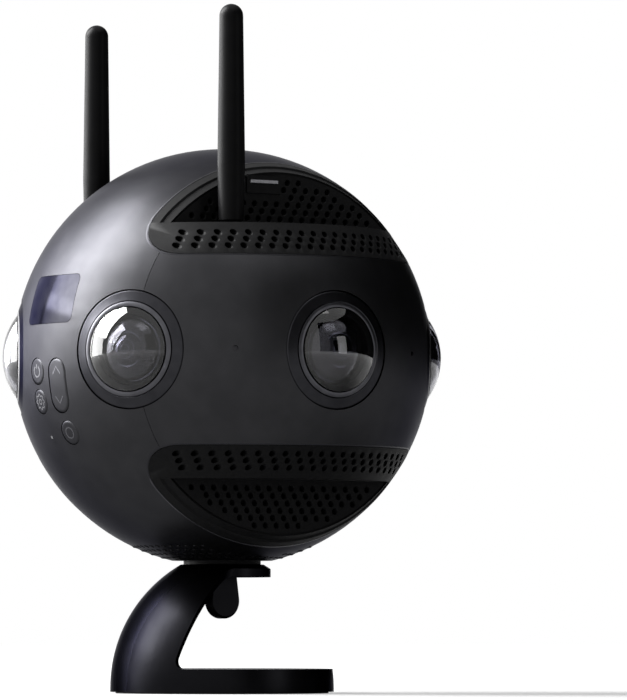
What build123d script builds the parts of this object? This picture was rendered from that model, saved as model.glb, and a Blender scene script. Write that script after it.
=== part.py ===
"""Panoramic camera: a ball with six lenses and two antennas, on a curved stand.

Frame: +Z up, in millimetres, with the origin on the table under the middle of the stand.
The front vents and front lens face -Y, the display and its keys face -X, the battery +X.
Azimuth 0 is -Y and azimuth 90 is +X, seen from above. Pieces of the ball are drawn about
the centre of the ball and then lifted to their height.
"""
import os
from math import acos, asin, cos, degrees, pi, sin, sqrt

from build123d import *

# Clearances and cutting
overrun = 4.0             # how far a cutting tool runs past what it cuts
snug = 0.03               # radial gap of a seated fit
running = 0.08            # radial gap of a turning or sliding fit
seam_gap = 0.15           # gap at a seam between two covers

# Ball
ball_radius = 71.5
shell_wall = 2.5
lens_count = 6
flat_depth = 2.1          # how much of the ball its bottom flat cuts away
foot_thick = 1.35         # foot disc between the flat and the stand
floor_radius = 21.0       # thick floor of the ball round the tripod bush
floor_thick = 3.4

# Vents, front and rear, above and below the lenses
notch_inset = 36.1        # upright wall of the recess behind the front of the ball
vent_rim = 5.6            # rim of the recess behind its wall
seam_step = 3.3           # seam of the front and rear plates in front of the recess wall
vent_z = 31.7             # edge nearest the lenses
vent_corner = 15.0
vent_wall = 2.0
strip_height = 11.0       # edge nearest the lenses up to the shelf of the recess
hole_radius = 1.02
hole_sides = 4
hole_turn = 30.0          # slant of the four sided holes
hole_pitch = 4.46
hole_shift_share = 1 / 3  # sideways shift from one row to the next, as a share of the pitch
hole_cycle = 3            # rows after which the shift repeats
strip_first_row = 34.5
strip_row_step = 2.3
strip_rows = 3
strip_edge = 4.0          # plain rim left between holes and the edge of a panel
wall_first_row = 45.4
wall_row_step = 2.5
wall_edge = 3.0

# Lens units
groove_radius = 20.0      # opening in the ball for a lens unit
bezel_sink = 3.2          # depth of the bezel under the skin of the ball at its rim
bezel_chamfer = 0.5
cone_radius = 15.8        # where the dark cone ends and the bright ring starts
cone_rise = 1.15
ring_inner = 14.2
ring_rise = 0.45
glass_radius = 13.9
glass_curve = 23.0        # radius of the outer face of the dome
glass_thick = 2.4
glass_proud = 3.7         # tip of a dome outside the ball
glass_skirt = 3.0
glass_hollow = 10.8       # radius of the hollow in the back of a dome
second_radius = 10.7      # second lens, on a ledge of the barrel
second_curve = 15.5
second_thick = 1.6
second_rim = 1.4
second_drop = 6.5         # foot of the second lens under the skirt of the dome
barrel_radius = 12.4
barrel_flange = 17.0
barrel_flange_thick = 3.0
barrel_wall = 1.3
barrel_step = 3.0
barrel_steps = 2
barrel_floor = 2.5
eye_radius = 6.3          # inner lens in the foot of the barrel
eye_bulge = 2.2
eye_drop = 0.5            # edge of the inner lens under the last step
seal_section = 0.9

# Chassis: a six sided tube that carries the lens barrels
unit_depth = 27.5         # flat side of the chassis under the skin of the ball
chassis_wall = 3.0
chassis_half = 24.0
sensor_size = 17.0
sensor_board = 1.6
sensor_chip = 9.0
sensor_chip_thick = 1.2
deck_thick = 2.0
deck_radius = 40.0
deck_tube = 16.0
deck_bore = 8.5

# Bottom of the ball
foot_radius = 13.2
bush_length = 13.0
thread_radius = 4.76      # three eighths inch tripod thread

# Electronics above the chassis
board_inset = 0.5         # board edge inside the outer faces of the chassis
board_thick = 1.6
sink_size = 50.0
sink_base = 2.4
sink_height = 12.0
sink_fins = 11
sink_fin = 1.4
fan_size = 50.0
fan_height = 12.0
fan_wall = 1.2
fan_hub = 11.0
fan_blades = 7
fan_blade_thick = 1.2
fan_blade_tilt = 38.0
fan_tip_gap = 0.6
fan_spindle = 2.0
fan_web = 4.0
fan_screw_radius = 1.6

# Battery at +X
battery_width = 19.4
battery_height = 34.0
battery_length = 64.0
bay_wall = 1.2
bay_gap = 0.3
bay_end = 1.6
cap_width = 24.0
cap_height = 42.0
cap_corner = 4.0
cap_thick = 2.2
cap_pull_radius = 7.0
cap_pull_depth = 1.3

# Control face at -X: places are (y, z) from the centre of the ball
window_width = 26.6
window_height = 16.3
window_z = 17.9
window_corner = 2.2
window_thick = 1.3
window_ledge = 1.2
display_inset = 2.0
display_thick = 1.8
key_gap = 0.12
key_travel = 0.5
key_lip = 0.32
key_lip_thick = 1.2
key_under = 0.2           # gap between a key's lip and the shell
power_place = (5.5, -6.2)
power_radius = 4.5
setting_place = (5.8, -16.4)
setting_radius = 4.25
confirm_place = (-7.0, -27.1)
confirm_radius = 4.3
rocker_place = (-6.4, -11.4)
rocker_width = 9.2
rocker_height = 18.4
lamp_place = (5.0, -28.3)
lamp_radius = 0.6
switch_radius = 1.6
control_board_depth = 14.5  # board behind the left side of the ball
control_board_width = 24.0
control_board_low = 33.0
control_board_high = 26.0
control_arm = 8.0

# Microphones, on the equator half way between lenses
mic_azimuths = (-30.0, 30.0, 150.0, -150.0)
mic_radius = 0.9
mic_disc_radius = 2.4
mic_disc_thick = 0.5

# Antennas, standing in the recesses
antenna_clear = 6.8       # axis in front of the recess wall
antenna_inset = 14.43     # axis in from the edge of the shelf
antenna_height = 73.6
antenna_foot_radius = 4.25
antenna_swell_radius = 4.65
antenna_swell_share = 0.27
antenna_tip_radius = 4.0
antenna_lift = 0.25
antenna_foot_round = 0.9
jack_radius = 3.2
jack_above = 7.0
jack_below = 5.0
jack_nut_radius = 5.4
jack_nut_thick = 2.2

# Card reader in the wall of the front upper recess
reader_width = 13.6
reader_height = 6.1
reader_depth = 17.0
reader_proud = 0.5
reader_x = -7.0
reader_drop = 5.07        # middle of the reader under the crown of the recess wall
card_width = 11.0
card_thick = 1.0
card_length = 15.0
card_z_above = 0.9        # card above the middle of the reader
card_proud = 0.4
card_gap = 0.1

# Stand: a bell of revolution cut down to a base, one neck and a cap
base_radius = 38.2
bell_curve = 48.5
bell_foot = 2.0           # height where the curve of the bell starts
stand_height = 43.85
base_height = 8.3
bell_wall = 2.3
cap_rim_radius = 16.6
stand_cap_thick = 3.6
neck_low_half = 20.3
neck_low_z = 19.8
neck_high_half = 17.2
neck_high_z = 39.0
neck_cap_fillet = 3.5
neck_base_fillet = 3.0
pad_outer = 36.4
pad_inner = 31.4
pad_thick = 1.6
pad_proud = 0.5

# Clamp screw under the cap
stud_above = 12.0         # thread above the top of the stand
washer_radius = 7.2
washer_thick = 1.2
washer_pocket = 1.4
shank_radius = 1.7
shank_length = 9.0
paddle_radius = 6.1
paddle_centre_z = 31.5
paddle_top_half = 5.0
paddle_thick = 4.4
paddle_edge = 0.8
paddle_gap = 0.1

# Derived places
flat_drop = ball_radius - flat_depth
ball_drop = flat_drop + foot_thick
ball_z = stand_height + ball_drop
inner_radius = ball_radius - shell_wall
notch_y = ball_radius - notch_inset
notch_z = vent_z + strip_height
vent_y = notch_y - vent_rim
seam_y = notch_y + seam_step
wall_crown = sqrt(ball_radius ** 2 - notch_y ** 2)
shelf_edge = sqrt(ball_radius ** 2 - notch_z ** 2)
antenna_y = notch_y + antenna_clear
antenna_x = antenna_inset - sqrt(shelf_edge ** 2 - antenna_y ** 2)
reader_z = wall_crown - reader_drop
glass_tip = ball_radius + glass_proud
chassis_flat = ball_radius - unit_depth
control_board_x = ball_radius - control_board_depth
lens_step = 360 / lens_count
lens_azimuths = [(step - (lens_count - 1) // 2) * lens_step for step in range(lens_count)]
bezel_rim = sqrt(ball_radius ** 2 - groove_radius ** 2)
bezel_foot = bezel_rim - bezel_sink
chassis_reach = chassis_flat / cos(pi / lens_count)
far = ball_radius + overrun
parts = {}


def lift(shape):
    """Lift a piece drawn about the centre of the ball to its height above the table."""
    return Pos(0, 0, ball_z) * shape


def keep(name, shape):
    """Keep a finished piece under the name that its file gets."""
    shape.label = name
    parts[name] = shape


def revolved(*lines):
    """Turn a closed outline in the XZ plane round the Z axis."""
    outline = lines[0]
    for line in lines[1:]:
        outline += line
    return revolve(make_face(outline.edges()), Axis.Z)


def turned(*points):
    """Turn a closed polygon of (radius, height) points round the Z axis."""
    return revolved(Polyline(*[(radius, 0, height) for radius, height in points], close=True))


def tube(outer, inner, low, high):
    """Upright tube between two heights."""
    return turned((inner, low), (outer, low), (outer, high), (inner, high))


def rod(radius, low, high):
    """Upright solid cylinder between two heights."""
    return Pos(0, 0, low) * extrude(Circle(radius), high - low)


def block(low, high):
    """Box between two opposite corners."""
    size = [b - a for a, b in zip(low, high)]
    middle = [(a + b) / 2 for a, b in zip(low, high)]
    return Pos(*middle) * Box(*size)


def aim(azimuth, elevation=0):
    """Turn the Z axis outward to a direction from the centre of the ball."""
    return Rot(0, 0, azimuth) * Rot(90 - elevation, 0, 0)


def face_angles(place):
    """Azimuth and elevation of a (y, z) place on the -X side of the ball."""
    y, z = place
    return -degrees(acos(-y / sqrt(ball_radius ** 2 - z ** 2))), degrees(asin(z / ball_radius))


def quadrant(y_edge, z_edge, corner):
    """Everything in front of -y_edge and above z_edge, with a round edge where they meet."""
    outline = make_face(Polyline((-y_edge, z_edge), (-y_edge, far), (-far, far), (-far, z_edge), close=True))
    if corner:
        outline = fillet(outline.vertices().sort_by_distance((-y_edge, z_edge, 0))[0], corner)
    return extrude(Plane.YZ * outline, far, both=True)


def four_ways(shape):
    """Front upper, front lower, rear upper and rear lower copies of a front upper shape."""
    lower = mirror(shape, Plane.XY)
    return {
        "front_top": shape,
        "front_bottom": lower,
        "rear_top": mirror(shape, Plane.XZ),
        "rear_bottom": mirror(lower, Plane.XZ),
    }


def row_places(z, row, half_width):
    """Middles of the holes of one row, shifted along by a share of the pitch."""
    shift = (row % hole_cycle - 1) * hole_pitch * hole_shift_share
    count = int((half_width + abs(shift)) // hole_pitch) + 1
    places = [(step * hole_pitch + shift, z) for step in range(-count, count + 1)]
    return [place for place in places if abs(place[0]) < half_width]


def hole_tool(places, y_near, y_far):
    """Straight holes along Y at (x, z) places, between two distances in front of the centre."""
    one = RegularPolygon(hole_radius, hole_sides, rotation=hole_turn)
    faces = [Pos(x, z) * one for x, z in places]
    sheet = Sketch(children=faces)
    return extrude(Plane.XZ.offset(y_near) * sheet, y_far - y_near)


# Shell of the ball
def make_shells():
    """Main shell with the two plates that close it at the front and at the rear."""
    skin = Sphere(ball_radius) - Sphere(inner_radius)
    skin += rod(floor_radius, -flat_drop, floor_thick - flat_drop) & Sphere(ball_radius)
    skin -= block((-far, -far, -far), (far, far, -flat_drop))
    skin -= rod(thread_radius + running, -far, 0)
    for azimuth in lens_azimuths:
        skin -= aim(azimuth) * rod(groove_radius, inner_radius / 2, far)
    for azimuth in mic_azimuths:
        skin -= aim(azimuth) * rod(mic_radius, inner_radius / 2, far)
    for opening in four_ways(quadrant(vent_y, vent_z, vent_corner)).values():
        skin -= opening
    window, ledge = window_tools()
    skin -= window
    skin -= ledge
    for tool in key_tools():
        skin -= tool
    skin -= battery_prism(cap_width + 2 * seam_gap, cap_height + 2 * seam_gap, cap_corner + seam_gap)
    middle = block((-far, seam_gap / 2 - seam_y, -far), (far, seam_y - seam_gap / 2, far))
    front = block((-far, -far, -far), (far, -seam_y - seam_gap / 2, far))
    keep("main_shell", lift(skin & middle))
    keep("front_plate", lift(skin & front))
    keep("rear_plate", lift(skin & mirror(front, Plane.XZ)))


# Vents
def make_vents():
    """Perforated strip with its shelf, and perforated recess wall with its rim, four times."""
    area = quadrant(vent_y + seam_gap, vent_z + seam_gap, vent_corner)
    solid = Sphere(ball_radius) & area
    core = Sphere(ball_radius - vent_wall) & quadrant(vent_y - overrun, vent_z - overrun, 0)
    low = block((-far, -far, 0), (far, 0, notch_z))
    shelf = block((-far, -far, notch_z - vent_wall), (far, vent_wall - notch_y, notch_z))
    strip = (solid - core) & low
    strip += solid & shelf & block((-far, -far, 0), (far, -vent_y - seam_gap, far))
    places = []
    for row in range(strip_rows):
        z = strip_first_row + row * strip_row_step
        half = sqrt(ball_radius ** 2 - z ** 2 - (vent_y + seam_gap) ** 2) - strip_edge * 2
        places += row_places(z, row, half)
    strip -= hole_tool(places, notch_y - vent_wall, far)

    high = block((-far, -far, notch_z), (far, 0, far))
    wall_slab = block((-far, -notch_y, notch_z), (far, vent_wall - notch_y, far))
    wall = solid & wall_slab
    wall += (solid - core) & high & block((-far, -notch_y, 0), (far, 0, far))
    places = []
    wall_rows = int((wall_crown - wall_edge - hole_radius - wall_first_row) // wall_row_step) + 1
    for row in range(wall_rows):
        z = wall_first_row + row * wall_row_step
        half = sqrt((wall_crown - wall_edge) ** 2 - z ** 2) - hole_radius
        places += row_places(z, row + 1, half)
    reader_reach = reader_width / 2 + hole_radius + seam_gap
    reader_low = reader_z - reader_height / 2 - hole_radius - seam_gap
    clear = [place for place in places if abs(place[0] - reader_x) > reader_reach or place[1] < reader_low]
    plain_wall = wall - hole_tool(places, vent_y - overrun, notch_y + overrun)
    slot = block(
        (reader_x - reader_width / 2 - seam_gap, -far, reader_z - reader_height / 2 - seam_gap),
        (reader_x + reader_width / 2 + seam_gap, 0, reader_z + reader_height / 2 + seam_gap),
    )
    slot_wall = wall - hole_tool(clear, vent_y - overrun, notch_y + overrun) - slot
    post = rod(jack_radius + snug, notch_z - vent_wall - overrun, notch_z + overrun)
    post = Pos(antenna_x, -antenna_y) * post
    drilled = strip - post
    strips = four_ways(strip)
    drilled_strips = four_ways(drilled)
    walls = four_ways(plain_wall)
    for name in strips:
        top = name.endswith("top")
        keep(name + "_vent", lift(drilled_strips[name] if top else strips[name]))
        keep(name + "_recess", lift(slot_wall if name == "front_top" else walls[name]))


# Lens units
def bulge_arc(rim, rim_z, top_z):
    """Arc in the XZ plane from a rim at some radius up to the middle, as a lens face bulges."""
    bulge = top_z - rim_z
    curve = (rim ** 2 + bulge ** 2) / (2 * bulge)
    half = asin(rim / curve) / 2
    return ThreePointArc((rim, 0, rim_z), (curve * sin(half), 0, top_z - curve * (1 - cos(half))), (0, 0, top_z))


def make_lenses():
    """Six bezels, glass domes and barrels, with their seals and inner lenses as groups."""
    rim = groove_radius - seam_gap
    cone_top = bezel_rim + cone_rise
    ring_top = cone_top + ring_rise
    bezel = turned(
        (ring_inner, bezel_foot), (rim, bezel_foot), (rim, bezel_rim - bezel_chamfer),
        (rim - bezel_chamfer, bezel_rim), (cone_radius, cone_top),
        (ring_inner + bezel_chamfer, ring_top), (ring_inner, ring_top - bezel_chamfer),
    )
    curve_z = glass_tip - glass_curve
    edge_z = curve_z + sqrt(glass_curve ** 2 - glass_radius ** 2)
    skirt_z = edge_z - glass_skirt
    half = asin(glass_radius / glass_curve) / 2
    inner_top = glass_tip - glass_thick
    dome = revolved(
        ThreePointArc(
            (0, 0, glass_tip),
            (glass_curve * sin(half), 0, curve_z + glass_curve * cos(half)),
            (glass_radius, 0, edge_z),
        ),
        Polyline((glass_radius, 0, edge_z), (glass_radius, 0, skirt_z), (glass_hollow, 0, skirt_z)),
        bulge_arc(glass_hollow, skirt_z, inner_top),
        Line((0, 0, inner_top), (0, 0, glass_tip)),
    )
    top = bezel_foot
    lip = skirt_z - snug
    ledge = skirt_z - second_drop
    bore = second_radius + snug
    ledge_radius = second_radius - barrel_wall
    step_in = (ledge_radius - eye_radius) / barrel_steps
    steps = []
    radius = ledge_radius
    height = ledge
    for _ in range(barrel_steps):
        steps += [(radius, height), (radius - step_in, height - barrel_step / barrel_steps)]
        radius -= step_in
        height -= barrel_step
    floor = chassis_flat + barrel_floor
    steps += [(eye_radius, height), (eye_radius, floor), (0, floor)]
    barrel = turned(
        (0, chassis_flat), (barrel_radius, chassis_flat), (barrel_radius, top - barrel_flange_thick),
        (barrel_flange, top - barrel_flange_thick), (barrel_flange, top), (ring_inner - running, top),
        (ring_inner - running, lip), (bore, lip), (bore, ledge), *steps,
    )
    eye_z = floor + snug
    eye_edge = height - eye_drop
    eye_rim = eye_radius - snug
    eye = revolved(
        Polyline((0, 0, eye_z), (eye_rim, 0, eye_z), (eye_rim, 0, eye_edge)),
        bulge_arc(eye_rim, eye_edge, eye_edge + eye_bulge),
        Line((0, 0, eye_edge + eye_bulge), (0, 0, eye_z)),
    )
    foot = ledge + snug
    second_rise = second_curve - sqrt(second_curve ** 2 - second_radius ** 2)
    second_top = foot + second_rim + second_rise
    second = revolved(
        Polyline((ledge_radius, 0, foot), (second_radius, 0, foot), (second_radius, 0, foot + second_rim)),
        bulge_arc(second_radius, foot + second_rim, second_top),
        Line((0, 0, second_top), (0, 0, second_top - second_thick)),
        bulge_arc(ledge_radius, foot, second_top - second_thick),
    )
    seal = tube(barrel_flange + seal_section, barrel_flange + snug, bezel_foot - seal_section - snug, bezel_foot)
    barrels = []
    seals = []
    eyes = []
    for number, azimuth in enumerate(lens_azimuths, 1):
        keep(f"lens_bezel_{number}", lift(aim(azimuth) * bezel))
        keep(f"lens_dome_{number}", lift(aim(azimuth) * dome))
        barrels.append(lift(aim(azimuth) * barrel))
        seals.append(lift(aim(azimuth) * seal))
        eyes += [lift(aim(azimuth) * eye), lift(aim(azimuth) * second)]
    keep("lens_barrels", Compound(children=barrels))
    keep("lens_seals", Compound(children=seals))
    keep("inner_lenses", Compound(children=eyes))


# Chassis and what it carries
def hexagon(flat, low, high):
    """Six sided prism whose flat sides face the lenses."""
    return Pos(0, 0, low) * extrude(RegularPolygon(flat, lens_count, major_radius=False), high - low)


def make_chassis():
    """Six sided chassis, sensor boards behind its flats, and the deck down to the foot."""
    chassis = hexagon(chassis_flat, -chassis_half, chassis_half)
    chassis -= hexagon(chassis_flat - chassis_wall, -far, far)
    boards = []
    for azimuth in lens_azimuths:
        chassis -= aim(azimuth) * rod(sensor_chip / 2 + overrun / 2, chassis_flat - overrun, far)
        back = chassis_flat - chassis_wall
        half = sensor_size / 2
        board = block((-half, -half, back - sensor_board), (half, half, back))
        chip_half = sensor_chip / 2
        board += block((-chip_half, -chip_half, back), (chip_half, chip_half, back + sensor_chip_thick))
        boards.append(lift(aim(azimuth) * board))
    bay_y = battery_width / 2 + bay_gap + bay_wall
    bay_z = battery_height / 2 + bay_gap + bay_wall
    chassis -= block((0, -bay_y, -bay_z), (far, bay_y, bay_z))
    arm = control_arm / 2
    chassis += block((-control_board_x + board_thick, -arm, -arm), (-chassis_reach + chassis_wall, arm, arm))
    keep("chassis", lift(chassis))
    keep("sensor_boards", Compound(children=boards))

    tube_foot = floor_thick - flat_drop
    deck = rod(deck_radius, -chassis_half - deck_thick, -chassis_half)
    deck += rod(deck_tube, tube_foot, -chassis_half)
    deck -= rod(deck_bore, tube_foot - overrun, tube_foot + bush_length)
    keep("lower_deck", lift(deck))

    bush = tube(deck_bore - snug, thread_radius + running, tube_foot, tube_foot + bush_length - snug)
    keep("tripod_bush", lift(bush))
    keep("foot_plate", lift(tube(foot_radius, thread_radius + running, -ball_drop, -flat_drop)))


def make_electronics():
    """Main board, finned heat sink, and the fan with its rotor on a spindle."""
    board = hexagon(chassis_flat - board_inset, chassis_half, chassis_half + board_thick)
    keep("main_board", lift(board))
    sink_z = chassis_half + board_thick
    half = sink_size / 2
    sink = block((-half, -half, sink_z), (half, half, sink_z + sink_base))
    pitch = (sink_size - sink_fin) / (sink_fins - 1)
    for index in range(sink_fins):
        x = index * pitch - half
        sink += block((x, -half, sink_z + sink_base), (x + sink_fin, half, sink_z + sink_height))
    keep("heat_sink", lift(sink))

    fan_z = sink_z + sink_height
    fan_half = fan_size / 2
    bore = fan_half - fan_wall
    housing = block((-fan_half, -fan_half, fan_z), (fan_half, fan_half, fan_z + fan_height))
    housing -= rod(bore, fan_z - overrun, fan_z + fan_height + overrun)
    web = fan_web / 2
    housing += block((-bore - fan_wall / 2, -web, fan_z), (bore + fan_wall / 2, web, fan_z + fan_wall))
    housing += block((-web, -bore - fan_wall / 2, fan_z), (web, bore + fan_wall / 2, fan_z + fan_wall))
    housing += rod(fan_spindle, fan_z, fan_z + fan_height - fan_wall * 2)
    screw = fan_half - fan_screw_radius * 2
    for x in (-screw, screw):
        for y in (-screw, screw):
            housing -= Pos(x, y) * rod(fan_screw_radius, fan_z - overrun, fan_z + fan_height + overrun)
    keep("fan_housing", lift(housing))

    rotor_low = fan_z + fan_wall * 2
    rotor_high = fan_z + fan_height - fan_wall
    reach = bore - fan_tip_gap
    middle_z = (rotor_low + rotor_high) / 2
    blade_half = (rotor_high - rotor_low) / 2
    rotor = rod(fan_hub, rotor_low, rotor_high)
    for index in range(fan_blades):
        plank = block((fan_hub / 2, -fan_blade_thick / 2, -far), (far, fan_blade_thick / 2, far))
        plank = Rot(0, 0, index * 360 / fan_blades) * Pos(0, 0, middle_z) * Rot(fan_blade_tilt, 0, 0) * plank
        rotor += plank & tube(reach, fan_hub / 2, middle_z - blade_half, middle_z + blade_half)
    rotor -= rod(fan_spindle + running, rotor_low - overrun, rotor_high - fan_wall + running)
    keep("fan_rotor", lift(rotor))


# Battery
def battery_prism(width, height, corner):
    """Round cornered prism along +X, as seen on the +X side of the ball."""
    outline = RectangleRounded(width, height, corner)
    return extrude(Plane.YZ.offset(chassis_flat) * outline, far - chassis_flat)


def make_battery():
    """Battery pack with its flush cap, and the sleeve that it slides in."""
    cap_inside = ball_radius - cap_thick
    cap = battery_prism(cap_width, cap_height, cap_corner) & (Sphere(ball_radius) - Sphere(cap_inside))
    pull = Pos(ball_radius + cap_pull_radius - cap_pull_depth, 0, 0) * Sphere(cap_pull_radius)
    cap -= pull
    front_x = sqrt(cap_inside ** 2 - (battery_width / 2) ** 2 - (battery_height / 2) ** 2) - snug
    half_y = battery_width / 2
    half_z = battery_height / 2
    pack = block((front_x - battery_length, -half_y, -half_z), (front_x, half_y, half_z))
    pack = chamfer(pack.edges().filter_by(Axis.X), bay_wall)
    plug = block((front_x - overrun, -half_y / 2, -half_z / 2), (cap_inside, half_y / 2, half_z / 2))
    plug = (plug - pack) & Sphere(cap_inside - snug)
    keep("battery_pack", lift(pack + plug))
    keep("battery_cap", lift(cap))

    bay_y = half_y + bay_gap
    bay_z = half_z + bay_gap
    back = front_x - battery_length - bay_gap
    mouth = front_x - bay_end
    bay = block((back - bay_end, -bay_y - bay_wall, -bay_z - bay_wall), (mouth, bay_y + bay_wall, bay_z + bay_wall))
    bay -= block((back, -bay_y, -bay_z), (far, bay_y, bay_z))
    keep("battery_bay", lift(bay))


# Control face
def window_tools():
    """Opening for the display window, and the smaller opening under its ledge."""
    place = Plane.YZ.offset(-far) * Pos(0, window_z)
    width = window_width + 2 * seam_gap
    height = window_height + 2 * seam_gap
    outer = extrude(place * RectangleRounded(width, height, window_corner + seam_gap), far - chassis_flat)
    outer -= Sphere(ball_radius - window_thick)
    inner = extrude(
        place * RectangleRounded(window_width - 2 * window_ledge, window_height - 2 * window_ledge, window_corner / 2),
        far - chassis_flat,
    )
    return outer, inner


def rocker_outline(grow):
    """Long round key, grown by a margin."""
    return SlotOverall(rocker_height + 2 * grow, rocker_width + 2 * grow, rotation=90)


def key_tools():
    """Openings in the shell for the keys and the lamp."""
    tools = []
    for place, radius in (
        (power_place, power_radius + key_gap), (setting_place, setting_radius + key_gap),
        (confirm_place, confirm_radius + key_gap), (lamp_place, lamp_radius + snug),
    ):
        tools.append(aim(*face_angles(place)) * rod(radius, inner_radius / 2, far))
    outline = Pos(0, 0, inner_radius / 2) * extrude(rocker_outline(key_gap * 2), far)
    tools.append(aim(*face_angles(rocker_place)) * outline)
    return tools


def make_controls():
    """Window, display, keys, lamp, the board behind them and its switches."""
    outer = extrude(
        Plane.YZ.offset(-far) * Pos(0, window_z) * RectangleRounded(window_width, window_height, window_corner),
        far - chassis_flat,
    )
    window = outer & (Sphere(ball_radius) - Sphere(ball_radius - window_thick + snug))
    keep("display_window", lift(window))

    lip_top = inner_radius - key_under
    lip_low = lip_top - key_lip_thick
    for name, place, radius in (
        ("power_button", power_place, power_radius),
        ("settings_button", setting_place, setting_radius),
        ("confirm_button", confirm_place, confirm_radius),
    ):
        cap = rod(radius, lip_low, far) & Sphere(ball_radius)
        cap += rod(radius + key_lip, lip_low, far) & Sphere(lip_top)
        keep(name, lift(aim(*face_angles(place)) * cap))
    rocker = Pos(0, 0, lip_low) * extrude(rocker_outline(0), far)
    rocker = rocker & Sphere(ball_radius)
    rocker += Pos(0, 0, lip_low) * extrude(rocker_outline(key_lip), far) & Sphere(lip_top)
    keep("up_down_rocker", lift(aim(*face_angles(rocker_place)) * rocker))

    lamp = rod(lamp_radius, lip_low, far) & Sphere(ball_radius)
    keep("status_lamp", lift(aim(*face_angles(lamp_place)) * lamp))

    front_x = -control_board_x
    half = control_board_width / 2
    board = block((front_x, -half, -control_board_low), (front_x + board_thick, half, control_board_high))
    keep("control_board", lift(board))
    room = block((-far, -far, -far), (front_x, far, far))
    switch_top = lip_low - key_travel - running
    towers = []
    reach = rocker_height / 4
    rocker_ends = [(rocker_place[0], rocker_place[1] + side * reach) for side in (-1, 1)]
    for place in (power_place, setting_place, confirm_place, *rocker_ends):
        tower = aim(*face_angles(place)) * rod(switch_radius, inner_radius / 2, switch_top)
        towers.append(lift(tower & room))
    keep("key_switches", Compound(children=towers))

    lens_half = window_width / 2 - display_inset
    tall_half = window_height / 2 - display_inset
    face_x = sqrt(inner_radius ** 2 - lens_half ** 2 - (window_z + tall_half) ** 2) - running
    display = block(
        (-face_x, -lens_half, window_z - tall_half), (-face_x + display_thick, lens_half, window_z + tall_half)
    )
    legs = block(
        (-face_x + display_thick, -control_arm / 2, window_z - control_arm / 2),
        (front_x, control_arm / 2, window_z + control_arm / 2),
    )
    keep("display_module", lift(display + legs))

    discs = []
    for azimuth in mic_azimuths:
        disc = rod(mic_disc_radius, inner_radius - mic_disc_thick * 2, inner_radius - mic_disc_thick)
        discs.append(lift(aim(azimuth) * disc))
    keep("microphone_meshes", Compound(children=discs))


# Antennas
def make_antennas():
    """Two antennas, each turning on a jack that stands on its recess shelf."""
    foot = notch_z + antenna_lift
    top = foot + antenna_height
    swell_z = foot + antenna_height * antenna_swell_share
    tip_z = top - antenna_tip_radius
    bore = jack_radius + running
    bore_top = notch_z + jack_above + running
    body = revolved(
        Polyline(
            (0, 0, bore_top), (bore, 0, bore_top), (bore, 0, foot),
            (antenna_foot_radius - antenna_foot_round, 0, foot),
            (antenna_foot_radius, 0, foot + antenna_foot_round), (antenna_swell_radius, 0, swell_z),
            (antenna_tip_radius, 0, tip_z),
        ),
        ThreePointArc(
            (antenna_tip_radius, 0, tip_z),
            (antenna_tip_radius * sin(pi / 4), 0, tip_z + antenna_tip_radius * sin(pi / 4)),
            (0, 0, top),
        ),
        Line((0, 0, top), (0, 0, bore_top)),
    )
    under = notch_z - vent_wall
    jack = rod(jack_radius, under - jack_below, notch_z + jack_above)
    nut = hexagon(jack_nut_radius, under - jack_nut_thick, under)
    jack += nut
    jacks = []
    for side, name in ((-1, "front"), (1, "rear")):
        place = Pos(antenna_x, side * antenna_y)
        keep(name + "_antenna", lift(place * body))
        jacks.append(lift(place * jack))
    keep("antenna_jacks", Compound(children=jacks))


# Card reader
def make_reader():
    """Card reader in the recess wall, with its card."""
    front = -notch_y - reader_proud
    half_x = reader_width / 2
    half_z = reader_height / 2
    reader = block(
        (reader_x - half_x, front, reader_z - half_z), (reader_x + half_x, front + reader_depth, reader_z + half_z)
    )
    middle = reader_z + card_z_above
    slot_half = card_width / 2 + card_gap
    slot_tall = card_thick / 2 + card_gap
    reader -= block(
        (reader_x - slot_half, front - overrun, middle - slot_tall),
        (reader_x + slot_half, front + card_length, middle + slot_tall),
    )
    keep("card_reader", lift(reader))
    card = block(
        (reader_x - card_width / 2, front - card_proud, middle - card_thick / 2),
        (reader_x + card_width / 2, front - card_proud + card_length, middle + card_thick / 2),
    )
    keep("memory_card", lift(card))


# Stand
def bell_radius(height, wall=0):
    """Radius of the bell at a height, on its outside or inside its wall."""
    return base_radius - bell_curve + sqrt((bell_curve - wall) ** 2 - (height - bell_foot) ** 2)


def bell_point(height, wall=0):
    """Point of the bell's outline at a height."""
    return (bell_radius(height, wall), 0, height)


def neck_plane(side):
    """Plane of one edge of the neck: through two points of the bell and square to its wall."""
    low_x = -sqrt(bell_radius(neck_low_z) ** 2 - neck_low_half ** 2)
    high_x = -sqrt(bell_radius(neck_high_z) ** 2 - neck_high_half ** 2)
    low = Vector(low_x, side * neck_low_half, neck_low_z)
    high = Vector(high_x, side * neck_high_half, neck_high_z)
    middle = (low + high) * 0.5
    out = Vector(middle.X, middle.Y, 0).normalized()
    hub = out * (base_radius - bell_curve) + Vector(0, 0, bell_foot)
    normal = (high - low).cross(middle - hub).normalized()
    if normal.X < 0:
        normal = normal * -1
    return Plane(origin=low, z_dir=normal)


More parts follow.
